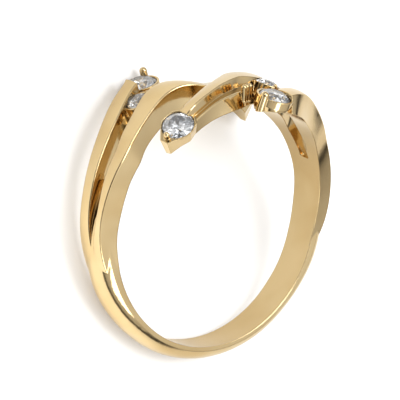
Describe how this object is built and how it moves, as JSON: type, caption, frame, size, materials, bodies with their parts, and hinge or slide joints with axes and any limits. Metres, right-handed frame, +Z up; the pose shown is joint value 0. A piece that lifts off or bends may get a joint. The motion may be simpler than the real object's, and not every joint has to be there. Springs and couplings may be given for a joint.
{
  "type": "diamond ring",
  "caption": "Bypass finger ring in polished yellow gold, lying on its side: split bands cross at the top and carry round brilliant-cut stones in cups, forks and pointed boxes.",
  "frame": {"origin": "on the resting surface, under the centre of the laid ring's box", "axes": "+Z up from the surface and nearly along the finger axis towards the ring's front, +Y towards the ring's top, +X towards its right"},
  "size_m": [0.0192, 0.0196, 0.0114],
  "materials": {
    "gold": "polished 14 karat yellow gold",
    "diamond": "colourless, polished facets"
  },
  "bodies": {
    "root": {"ring_band": "gold", "stone_left_box": "diamond", "stone_left_end": "diamond", "stone_left_fork": "diamond", "stone_right_box": "diamond", "stone_right_end": "diamond", "stone_right_fork": "diamond"}
  },
  "joints": []
}
